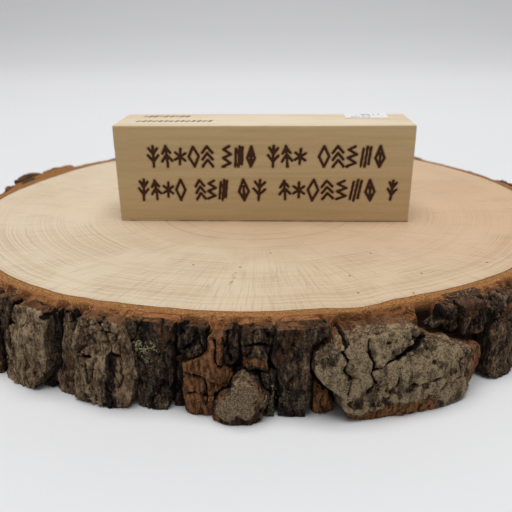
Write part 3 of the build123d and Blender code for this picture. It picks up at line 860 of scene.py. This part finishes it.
def outer_bark_material():
    s = Shader("weathered_outer_bark")
    tone, lichen, moss, red = s.attributes("tone", "lichen", "moss", "red")
    shade_and_soot, broken, round_lichen = s.attributes("shade_and_soot", "broken", "crust")
    streaks = s.noise(0.70, 4, 0.72, place=s.stretch(1.0, 1.0, 0.30))
    patches = s.noise(2.4, 3, 0.6, place=s.stretch(1.0, 1.0, 0.5))
    warmth = s.noise(5.0, 3, 0.6, place=s.stretch(1.0, 1.0, 0.6))
    flecks = s.noise(0.60, 3, 0.7)
    fine = s.noise(0.30, 3, 0.7)
    dust = s.noise(0.15, 2, 0.7)
    # cork, from sooty brown in the shade of its ridges to weathered grey-tan
    light = s.add(tone, s.add(s.centred(streaks, 1.8), s.centred(patches, 0.7)))
    light = s.add(light, s.add(s.centred(flecks, 0.9), s.centred(dust, 0.8)))
    colour = s.ramp(light, (0.0, (14, 10, 8)), (0.28, (50, 39, 32)), (0.50, (92, 73, 57)),
                    (0.72, (138, 113, 86)), (0.92, (184, 160, 126)))
    colour = s.stained(
        colour,
        (s.step(warmth, 0.52, 0.66), 0.5, (96, 60, 38)),
        # painted highlights: small pale specks standing in for glints on the bark
        (s.step(s.noise(0.33, 1, 0.5), 0.68, 0.74), 0.6, (166, 144, 112)))
    # bare red bark, and moss
    red_fibres = s.step(s.noise(0.5, 3, 0.7, place=s.stretch(0.5, 0.5, 1.0)), 0.55, 0.68)
    bare = s.mix(s.step(streaks, 0.40, 0.62), (82, 54, 34), (160, 110, 71))
    bare = s.stained(bare, (red_fibres, 0.7, (184, 128, 83)))
    colour = s.mix(s.ragged(red, patches, 1.4, 0.35, 0.7), colour, bare)
    green = s.mix(s.step(dust, 0.48, 0.60), (36, 35, 26), (158, 152, 118))
    colour = s.stained(colour, (s.ragged(moss, fine, 2.4, 0.55, 0.75), 0.75, green))
    # crusts of lichen: warm grey, with paler grains and sooty pits; the round ones are smoother and browner
    mottle = s.add(s.times(patches, 0.6), s.times(flecks, 0.4))
    craze = s.times(s.lines(s.noise(2.0, 2, 0.6), 0.022), s.step(s.noise(3.0, 2, 0.5), 0.46, 0.58))
    crust = s.stained(
        s.mix(s.step(mottle, 0.42, 0.56), (112, 94, 70), (184, 161, 125)),
        (s.step(s.noise(1.3, 3, 0.65), 0.54, 0.62), 0.45, (98, 84, 62)),
        (s.step(patches, 0.45, 0.36), 0.75, (80, 64, 47)),
        (s.step(fine, 0.54, 0.66), 0.4, (190, 170, 136)),
        (s.step(tone, 0.52, 0.70), 0.35, (196, 174, 142)),
        (s.step(fine, 0.47, 0.37), 0.85, (48, 37, 26)),
        (s.step(dust, 0.55, 0.67), 0.4, (66, 53, 38)),
        (craze, 0.8, (40, 30, 21)))
    round_crust = s.mix(s.step(fine, 0.42, 0.58), (98, 78, 58), (176, 151, 120))
    round_crust = s.stained(round_crust, (s.step(dust, 0.54, 0.64), 0.6, (74, 56, 40)))
    crust = s.mix(round_lichen, crust, round_crust)
    colour = s.mix(s.ragged(lichen, flecks, 0.9, 0.42, 0.58), colour, crust)
    # broken tops, layered round the slice, and painted black shade in every hollow, with the sooty band's own
    # dark
    layers = s.noise(0.42, 4, 0.7, place=round_the_slice(s, 0.010))
    cut = s.mix(s.step(layers, 0.38, 0.60), (70, 46, 30), (140, 98, 64))
    cut = s.stained(cut, (s.step(fine, 0.58, 0.68), 0.5, (180, 136, 96)))
    colour = s.mix(s.ragged(broken, flecks, 1.0, 0.40, 0.62), colour, cut)
    shade_black = s.mix(fine, (10, 7, 6), (34, 24, 18))
    colour = s.mix(s.ragged(shade_and_soot, flecks, 0.9, 0.45, 0.95), colour, shade_black)
    height = s.add(s.add(s.times(streaks, 1.2), s.times(flecks, 0.5)),
                   s.add(s.times(fine, 0.5), s.times(dust, 0.25)))
    return s.done(colour, s.ramp(fine, (0, 0.80), (1, 0.97)), height, 0.45, 0.18)


# --- strands and tufts on the bark ---
TUBE_SIDES = 4


def tube(path, radius):
    """Points and faces of a thin tapering tube along a path of points."""
    path = np.asarray(path)
    ahead = np.gradient(path, axis=0)
    ahead /= np.linalg.norm(ahead, axis=1, keepdims=True)
    across = np.cross(ahead, [0.31, 0.17, 0.93])
    across /= np.linalg.norm(across, axis=1, keepdims=True)
    other = np.cross(ahead, across)
    points = []
    for i, share in enumerate(np.linspace(0, 1, len(path))):
        width = radius * (1.0 - 0.75 * share)
        for k in range(TUBE_SIDES):
            turn = 2 * math.pi * k / TUBE_SIDES
            points.append(path[i] + width * (math.cos(turn) * across[i] + math.sin(turn) * other[i]))
    faces = ring_faces(len(path), TUBE_SIDES)
    faces.append(tuple(range(TUBE_SIDES))[::-1])
    faces.append(tuple(range(len(points) - TUBE_SIDES, len(points))))
    return points, faces


def bundle(name, paths, radius):
    """Many thin tubes as one piece, riding on the slice."""
    points, faces = [], []
    for path in paths:
        more, made = tube(path, radius)
        faces += [tuple(i + len(points) for i in face) for face in made]
        points += more
    return new_piece(name, points, faces, "base")


def bark_surface():
    """A tree for finding places on the shaped bark along the front."""
    points, faces = [], []
    for node in LOOKS:
        mesh = bpy.data.objects["rough_" + node].data
        faces += [tuple(i + len(points) for i in polygon.vertices) for polygon in mesh.polygons]
        points += [tuple(p) for p in mesh_points(mesh)]
    return BVHTree.FromPolygons(points, faces)


# How far from the slice's middle the rays start that place the tufts.
BEYOND_BARK = 130
# Clumps of bushy lichen, as (degrees, height, spread in millimetres, strands).
TUFTS = [(-104.2, 16.0, 0.7, 30), (-102.2, 16.2, 0.6, 26), (-103.4, 14.8, 0.7, 30), (-103.3, 12.6, 0.5, 16),
         (-86.8, 7.0, 0.8, 14), (-86.2, 4.2, 0.7, 12), (-79.6, 17.6, 0.7, 10), (-110.6, 1.8, 0.6, 8)]
TUFT_STEPS, TUFT_STEP = 5, 0.17
FIBRE_COUNT, FIBRE_STEPS = 90, 6
FRONT_STRETCH, OTHER_STRETCH = (-135, -40), (-40, 225)


def make_lichen_tufts(surface):
    """Curly strands, each starting where a ray from outside meets the bark."""
    dice = np.random.default_rng(5)
    paths = []
    for degrees, height, spread, strands in TUFTS:
        for _ in range(strands):
            angle = math.radians(degrees + dice.normal() * spread / ARC_PER_DEGREE)
            out = Vector((math.cos(angle), math.sin(angle), 0))
            origin = out * BEYOND_BARK + Vector((0, 0, height + dice.normal() * spread))
            hit = surface.ray_cast(origin, -out)
            if hit[0] is None:
                continue
            way = np.array(out) * 0.8 + dice.normal(size=3) * 0.7
            path = [np.array(hit[0]) - 0.1 * np.array(out)]
            for _ in range(TUFT_STEPS):
                way += dice.normal(size=3) * 0.6
                path.append(path[-1] + TUFT_STEP * way / np.linalg.norm(way))
            paths.append(path)
    return bundle("lichen_tufts", paths, 0.10)


def make_bark_fibres():
    """Loose pale strands lying along the broken upper edge of the inner bark, most of them at the front."""
    dice = np.random.default_rng(8)
    paths = []
    for _ in range(FIBRE_COUNT):
        degrees = dice.uniform(*(FRONT_STRETCH if dice.random() < 0.6 else OTHER_STRETCH))
        share = dice.uniform(0.45, 0.98)
        drift = dice.normal() * 0.25
        path = []
        for i in range(FIBRE_STEPS + 1):
            angle = math.radians(degrees + i * dice.uniform(0.12, 0.34))
            inner, outer = wood_edge(np.array([angle]))[0], bark_radius(angle)
            radius = inner + (outer - inner) * min(share + drift * i / FIBRE_STEPS, 1.02)
            lift = 0.05 - 0.9 * max(share - 0.6, 0) + 0.22 * math.sin(i * 0.9 + degrees)
            path.append(np.array([radius * math.cos(angle), radius * math.sin(angle), slice_top + lift]))
        paths.append(path)
    return bundle("bark_fibres", paths, 0.07)


def tuft_material():
    s = Shader("bushy_lichen")
    grain = s.noise(0.3, 2, 0.6)
    return s.done(s.mix(s.step(grain, 0.35, 0.65), (140, 132, 94), (222, 212, 172)), 0.9, grain, 0.05, 0.15)


def fibre_material():
    s = Shader("loose_bark_fibre")
    grain = s.noise(0.5, 2, 0.6)
    return s.done(s.mix(s.step(grain, 0.35, 0.65), (168, 112, 66), (222, 174, 122)), 0.85, grain, 0.03, 0.2)


# --- the block ---
EDGE_ROUND_TOP, EDGE_ROUND_FOOT = 0.45, 0.15
ENGRAVED_DEPTH = 0.32
# Where the rows of strokes lie: heights on the front, and distances from the front on the top.
FRONT_ROWS = [(6.4, 14.2), (16.8, 24.6)]
TOP_ROWS = [(6.2, 9.0), (15.2, 18.0)]
# The block's grid: spacing on plain faces, over strokes, and at its rounded ends.
PLAIN_SPACING = (0.9, 0.8, 0.8)
STROKE_SPACING = (0.25, 0.28, 0.25)
END_SPACING = 0.16
# How deep a CAD face may reach and still belong to a stroke, and how near a box side it may lie.
STROKE_DEPTHS = (0.05, 0.5)
STROKE_MARGINS = (2.0, 1.5)
# How far a stroke is looked for, and the distance that means none was found.
STROKE_REACH, NO_STROKE = 2.0, 5.0


def lines_between(low, high, coarse, fine, fine_spans):
    """Grid lines from low to high, close together in fine_spans and near both ends."""
    marks = [low]
    while marks[-1] < high - 1e-6:
        here = marks[-1]
        near_end = min(here - low, high - here - 0.4) < EDGE_ROUND_TOP
        dense = any(a <= here <= b for a, b in fine_spans)
        marks.append(here + (fine if dense else END_SPACING if near_end else coarse))
    marks = np.array(marks)
    return low + (marks - low) * (high - low) / (marks[-1] - low)


def grid_box(xs, ys, zs):
    """The closed surface of a box, split along the given lines."""
    count = (len(xs), len(ys), len(zs))
    corners = []
    for axis in range(3):
        u, v = [a for a in range(3) if a != axis]
        for end in (0, count[axis] - 1):
            iu, iv = np.meshgrid(np.arange(count[u] - 1), np.arange(count[v] - 1), indexing="ij")
            iu, iv = iu.ravel(), iv.ravel()
            quad = np.zeros((len(iu), 4, 3), int)
            quad[:, :, axis] = end
            for corner, (du, dv) in enumerate(((0, 0), (1, 0), (1, 1), (0, 1))):
                quad[:, corner, u] = iu + du
                quad[:, corner, v] = iv + dv
            corners.append(quad)
    corners = np.concatenate(corners)
    keys, faces = np.unique(corners.reshape(-1, 3), axis=0, return_inverse=True)
    points = np.column_stack([xs[keys[:, 0]], ys[keys[:, 1]], zs[keys[:, 2]]])
    return points, faces.reshape(-1, 4).tolist()


def rounded(points, low, high):
    """Rounds a box's edges and corners, more at the top than at the foot."""
    share = (points[:, 2:] - low[2]) / (high[2] - low[2])
    radius = EDGE_ROUND_FOOT + (EDGE_ROUND_TOP - EDGE_ROUND_FOOT) * ease(0.8, 1.0, share)
    core = np.clip(points, low + radius, high - radius)
    away = points - core
    length = np.linalg.norm(away, axis=1, keepdims=True)
    return core + away * radius / np.maximum(length, 1e-9)


class Engraving:
    """Signed distance to the CAD block's engraved strokes, on its front (axis 1) or its top (axis 2)."""

    def __init__(self, axis, surface, inward):
        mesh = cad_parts["plaque_block"].data
        points = [Vector(v.co) / MM for v in mesh.vertices]
        walls, floors = [], []
        for polygon in mesh.polygons:
            depth = [(points[i][axis] - surface) * inward for i in polygon.vertices]
            if not STROKE_DEPTHS[0] <= max(depth) <= STROKE_DEPTHS[1]:
                continue
            centre = np.mean([points[i] for i in polygon.vertices], axis=0)
            inside = all(block_low[a] + STROKE_MARGINS[0] < centre[a] < block_high[a] - STROKE_MARGINS[1]
                         for a in range(3) if a != axis)
            if inside and min(depth) > max(depth) - 0.01:
                floors.append(tuple(polygon.vertices))
            elif inside and abs(polygon.normal[axis]) < 0.3:
                walls.append(tuple(polygon.vertices))
        self.axis = axis
        self.depth = max((points[i][axis] - surface) * inward for face in floors for i in face)
        self.wall_place = surface + inward * self.depth / 2
        self.floor_place = surface + inward * self.depth
        self.walls = BVHTree.FromPolygons(points, walls)
        self.floors = BVHTree.FromPolygons(points, floors)

    def distance(self, points):
        """Millimetres from each point to the nearest stroke's edge, negative inside a stroke."""
        result = np.full(len(points), NO_STROKE)
        for i, point in enumerate(points):
            probe = Vector(point)
            probe[self.axis] = self.wall_place
            hit = self.walls.find_nearest(probe, STROKE_REACH)
            if hit[0] is None:
                continue
            probe[self.axis] = self.floor_place
            floor = self.floors.find_nearest(probe, STROKE_REACH)
            inside = floor[0] is not None and floor[3] < 0.01
            result[i] = -hit[3] if inside else hit[3]
        return result


def make_block():
    """The block, with rounded and slightly wavy edges and strokes burnt into its front and top."""
    low, high = block_low, block_high
    front, top = Engraving(1, low[1], 1), Engraving(2, high[2], -1)
    spans = ([(low[0] + 4.5, high[0] - 2.5)],
             [(low[1] + start, low[1] + end) for start, end in TOP_ROWS],
             [(low[2] + start, low[2] + end) for start, end in FRONT_ROWS])
    lines = [lines_between(*each) for each in zip(low, high, PLAIN_SPACING, STROKE_SPACING, spans)]
    flat, faces = grid_box(*lines)
    points = rounded(flat, low, high)
    on_front = (flat[:, 1] < low[1] + 1e-6) & (flat[:, 2] > low[2] + 3) & (flat[:, 2] < high[2] - 3)
    on_top = (flat[:, 2] > high[2] - 1e-6) & (flat[:, 1] > low[1] + 2) & (flat[:, 1] < high[1] - 2)
    wobble = 0.05 * noise(points, 0.9, 61, 2)
    distance = np.full(len(points), NO_STROKE)
    distance[on_front] = front.distance(flat[on_front]) + wobble[on_front]
    distance[on_top] = top.distance(flat[on_top]) + wobble[on_top]
    sunk = 1 - np.where(on_top, ease(0.14, 0.40, distance), ease(-0.17, 0.03, distance))
    points[on_front, 1] += ENGRAVED_DEPTH * sunk[on_front]
    points[on_top, 2] -= top.depth * sunk[on_top]
    # worn edges: what lies near two or three faces at once is pushed in unevenly, but not at the foot
    edge = np.linalg.norm(flat - np.clip(flat, low + 2.2, high - 2.2), axis=1) > 2.25
    waver = noise(points, (11, 4, 4), 62, 2) * 0.16 + noise(points, (3, 2, 2), 63, 2) * 0.05
    inwards = (block_middle - points) / np.linalg.norm(block_middle - points, axis=1, keepdims=True)
    points += inwards * (np.maximum(waver, 0) * 0.7 * edge * (flat[:, 2] > low[2] + 1))[:, None]
    attributes = {"burn": sunk, "scorch": np.exp(-np.maximum(distance, 0) ** 2 / 0.05)}
    return new_piece("plaque_block_engraved", points, faces, "block", ["plaque_block"],
                     attributes)


def block_material():
    s = Shader("sanded_light_wood")
    burn, scorch = s.attributes("burn", "scorch")
    # growth layers run along the block, nearly level, with finer fibres inside them
    layers = s.noise(1.6, 3, 0.55, place=s.stretch(0.04, 0.45, 1.0, turn=(0.12, 0.012, 0)), distortion=0.2)
    layered = s.step(layers, 0.35, 0.68)
    fibres = s.noise(0.30, 3, 0.65, place=s.stretch(0.05, 0.6, 1.0))
    short = s.stretch(0.12, 1.0, 1.0)
    pores = s.noise(0.14, 2, 0.6, place=short)
    flecks = s.step(s.noise(0.5, 1, 0.5, place=short), 0.66, 0.76)
    tint = s.noise(30, 2, 0.5, place=s.stretch(0.4, 1.0, 1.0))
    normal = s.axes(s.node("NewGeometry").outputs["Normal"])
    end = s.step(s.math("ABSOLUTE", normal[0]), 0.6, 0.9)
    # painted light: the top gets paler colours and the front darker, warmer ones, lit and shaded copies of
    # one wood standing in for the sheen on the top and the shade on the front
    front = s.mix(layered, (215, 188, 144), (206, 178, 133))
    top = s.mix(layered, (233, 218, 191), (222, 202, 168))
    # painted shadow: a thin dark line along the block's foot, standing in for the contact shadow where the
    # block meets the slice
    above_foot = s.add(s.axes(s.place)[2], -block_low[2] * MM)
    painted_foot_shadow = s.times(s.step(above_foot, 0.55 * MM, 0.15 * MM), s.step(s.noise(9, 2, 0.6), 0.36, 0.56))
    colour = s.stained(
        s.mix(s.step(normal[2], 0.3, 0.8), front, top),
        (s.step(tint, 0.4, 0.6), 0.18, (206, 176, 132)),
        (s.step(fibres, 0.45, 0.75), 0.16, (176, 142, 98)),
        (s.step(pores, 0.55, 0.75), 0.14, (160, 124, 82)),
        (flecks, 0.12, (240, 222, 186)),
        (end, s.times(s.step(s.noise(0.3, 3, 0.6), 0.4, 0.7), 0.5), (176, 140, 98)),
        (painted_foot_shadow, 0.8, (84, 48, 26)),
        (scorch, 0.35, (128, 86, 48)))
    colour = s.mix(s.step(burn, 0.25, 0.7), colour, s.mix(fibres, (48, 20, 6), (82, 42, 16)))
    height = s.add(s.times(fibres, 0.6), s.times(pores, 0.4))
    return s.done(colour, s.ramp(fibres, (0, 0.5), (1, 0.66)), height, 0.045, 0.3)


# --- the label ---
LABEL_THICKNESS = 0.12
# Rows of dashes, from the front: their start and end as shares of the label's length, and their height.
DASHES = [(0.12, 0.62, 0.9), (0.12, 0.90, 0.5), (0.30, 0.84, 1.3)]


def make_label():
    """A thin paper label, lifting a little at one corner, with rows of meaningless grey dashes."""
    low, high = box_mm("paper_label")
    points, faces = grid_box(np.linspace(low[0], high[0], 110), np.linspace(low[1], high[1], 66),
                             np.array([low[2], high[2]]))
    u, v = ((points - low) / (high - low))[:, :2].T
    upper = points[:, 2] > (low[2] + high[2]) / 2
    lift = 0.45 * ease(0.55, 1.0, (u + v) / 2) ** 2 + 0.05 * noise(points, 4, 71)
    points[:, 2] = low[2] + LABEL_THICKNESS * upper + np.maximum(lift, 0)
    ink = np.zeros(len(points))
    for row, (start, end, tall) in enumerate(DASHES):
        level = low[1] + (0.22 + 0.27 * row) * (high[1] - low[1])
        # noise along the row alone, so that every dash is an upright bar
        dash = noise(points * [1, 0, 0] + [0, row * 9.0, 0], 0.42, 72)
        inside = (u > start) & (u < end) & (np.abs(points[:, 1] - level) < tall / 2)
        ink = np.maximum(ink, inside * ease(-0.15, 0.1, dash))
    return new_piece("paper_label_sheet", points, faces, "block", ["paper_label"],
                     {"ink": ink * upper, "rim": (v < 0.035).astype(float)})


def label_material():
    s = Shader("white_label_paper")
    ink, rim = s.attributes("ink", "rim")
    fibre = s.noise(0.25, 3, 0.6)
    paper = s.mix(s.times(fibre, 0.5), (240, 240, 238), (222, 222, 222))
    colour = s.stained(paper, (ink, 0.9, (72, 74, 80)), (rim, 0.7, (196, 140, 96)))
    return s.done(colour, s.ramp(fibre, (0, 0.5), (1, 0.6)), fibre, 0.02, 0.4)


# --- build the object ---

paint(make_slice_wood(), end_grain_material())
paint(make_inner_bark(), inner_bark_material())
make_outer_bark()
paint(make_lichen_tufts(bark_surface()), tuft_material())
paint(make_bark_fibres(), fibre_material())
paint(make_block(), block_material())
paint(make_label(), label_material())


# --- studio: floor, light and camera ---

def make_floor():
    """A white sweep: a wide floor that curves up into a wall behind the object. Metres."""
    half_width, front, bend, wall, radius = 2.5, -1.5, 0.42, 1.4, 0.45
    profile = [(front, 0.0), (bend, 0.0)]
    for turn in np.linspace(0.05, math.pi / 2, 24):
        profile.append((bend + radius * math.sin(turn), radius * (1 - math.cos(turn))))
    profile.append((profile[-1][0], wall))
    points = [(side * half_width, y, z) for side in (-1, 1) for y, z in profile]
    count = len(profile)
    faces = [(i, i + count, i + count + 1, i + 1) for i in range(count - 1)]
    mesh = bpy.data.meshes.new("floor")
    mesh.from_pydata(points, [], faces)
    mesh.polygons.foreach_set("use_smooth", np.ones(len(faces), bool))
    floor = placed("floor", mesh)
    paint(floor, floor_material())


def floor_material():
    """White paper, a little paler on the far part of the floor, and shaded on the wall behind the object."""
    s = Shader("white_paper_sweep")
    _, back, up = s.axes(s.place)
    paper = s.mix(s.noise(60, 2), (235, 235, 236), (237, 238, 239))
    paper = s.mix(s.step(back, 0.10, 0.40), paper, (242, 242, 243))
    shade = s.ramp(s.times(up, 5.0), (0.035, 1.0), (0.14, 0.865), (0.315, 0.765), (0.5, 0.72), (0.9, 0.95))
    return s.done(s.mix(1.0, paper, shade, "MULTIPLY"), 0.75, specular=0.15)


def make_lights():
    """One wide soft light overhead, and a dim room round it."""
    world = bpy.data.worlds.new("studio")
    world.use_nodes = True
    nodes, links = world.node_tree.nodes, world.node_tree.links
    # the dim room lights the object, while the camera sees a pale one past the edges of the floor
    dim = nodes["Background"]
    dim.inputs["Color"].default_value = (0.97, 0.98, 1.0, 1)
    dim.inputs["Strength"].default_value = 0.18
    pale = nodes.new("ShaderNodeBackground")
    pale.inputs["Color"].default_value = srgb(222, 223, 225)
    chosen = nodes.new("ShaderNodeMixShader")
    links.new(nodes.new("ShaderNodeLightPath").outputs["Is Camera Ray"], chosen.inputs["Fac"])
    links.new(dim.outputs[0], chosen.inputs[1])
    links.new(pale.outputs[0], chosen.inputs[2])
    links.new(chosen.outputs[0], nodes["World Output"].inputs["Surface"])
    bpy.context.scene.world = world
    data = bpy.data.lights.new("overhead", "AREA")
    data.shape = "RECTANGLE"
    data.size, data.size_y = 0.95, 0.8
    data.energy = 14.5
    light = placed("overhead", data)
    light.location = (0.0, -0.14, 1.3)
    light.rotation_euler = (-light.location).to_track_quat("-Z", "Y").to_euler()


# The camera's place: in front of the block's face, above the slice, and to the right of the block's middle.
# Millimetres, and degrees downwards, to the right and of roll.
CAMERA_FRONT, CAMERA_ABOVE, CAMERA_RIGHT = 171.4, 60.2, 4.5
CAMERA_PITCH, CAMERA_YAW, CAMERA_ROLL = 22.77, -2.31, -0.52
CAMERA_LENS = 40.54
FOCUS_DISTANCE = 138
APERTURE = 32


def make_camera():
    pitch, yaw, roll = (math.radians(a) for a in (CAMERA_PITCH, CAMERA_YAW, CAMERA_ROLL))
    turn = (Matrix.Rotation(-yaw, 4, "Z") @ Matrix.Rotation(math.pi / 2 - pitch, 4, "X")
            @ Matrix.Rotation(roll, 4, "Z"))
    place = Vector((block_middle[0] + CAMERA_RIGHT, block_low[1] - CAMERA_FRONT,
                    slice_top + CAMERA_ABOVE)) * MM
    data = bpy.data.cameras.new("camera")
    data.lens = CAMERA_LENS
    data.sensor_width = 36
    data.clip_start = 0.01
    data.dof.use_dof = True
    data.dof.focus_distance = FOCUS_DISTANCE * MM
    data.dof.aperture_fstop = APERTURE
    camera = placed("camera", data)
    camera.matrix_world = Matrix.Translation(place) @ turn
    bpy.context.scene.camera = camera


make_floor()
make_lights()
make_camera()
bpy.context.scene.view_settings.view_transform = "Standard"

bpy.context.view_layer.update()
